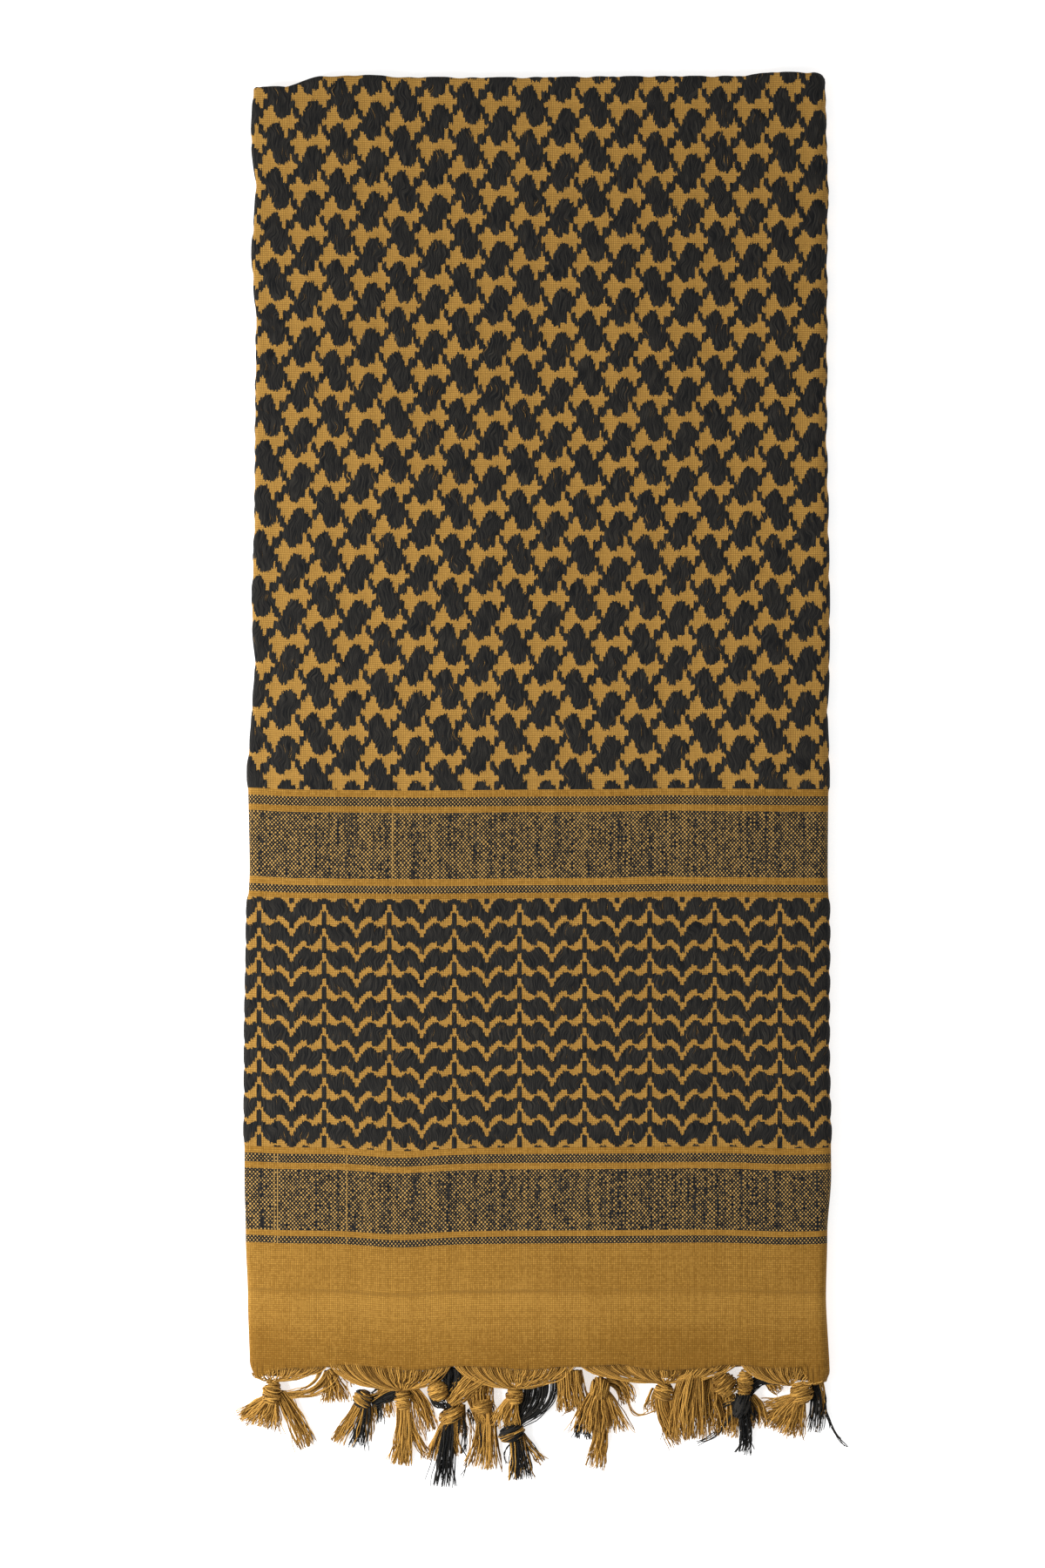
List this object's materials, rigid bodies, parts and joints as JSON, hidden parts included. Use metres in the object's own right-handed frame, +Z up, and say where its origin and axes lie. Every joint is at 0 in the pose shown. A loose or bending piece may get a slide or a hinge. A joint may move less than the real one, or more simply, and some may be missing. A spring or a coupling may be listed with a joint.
{
  "type": "folded keffiyeh headscarf",
  "caption": "Square woven cotton headscarf folded flat into a long rectangle, with net and leaf patterns and a knotted fringe at one end.",
  "frame": {"origin": "middle of the scarf's own box, on the surface it lies on", "axes": "+Z up from the surface; +Y from the fringe to the far fold; +X from the edge with two folds to the edge with one"},
  "size_m": [0.2764, 0.659, 0.01],
  "materials": {
    "pattern_cloth": "matt cotton, black floats on a gold ground",
    "hidden_plies": "matt cotton, the same cloth folded inside",
    "fringe_yarn": "matt twisted cotton yarn"
  },
  "bodies": {
    "root": {"outer_ply": "pattern_cloth", "inner_plies": "hidden_plies", "fringe_gather": "fringe_yarn", "tassel_01": "fringe_yarn", "tassel_02": "fringe_yarn", "tassel_03": "fringe_yarn", "tassel_04": "fringe_yarn", "tassel_05": "fringe_yarn", "tassel_06": "fringe_yarn", "tassel_07": "fringe_yarn", "tassel_08": "fringe_yarn", "tassel_09": "fringe_yarn", "tassel_10": "fringe_yarn", "tassel_11": "fringe_yarn", "tassel_12": "fringe_yarn", "tassel_13": "fringe_yarn", "tassel_14": "fringe_yarn", "tassel_15": "fringe_yarn"}
  },
  "joints": []
}
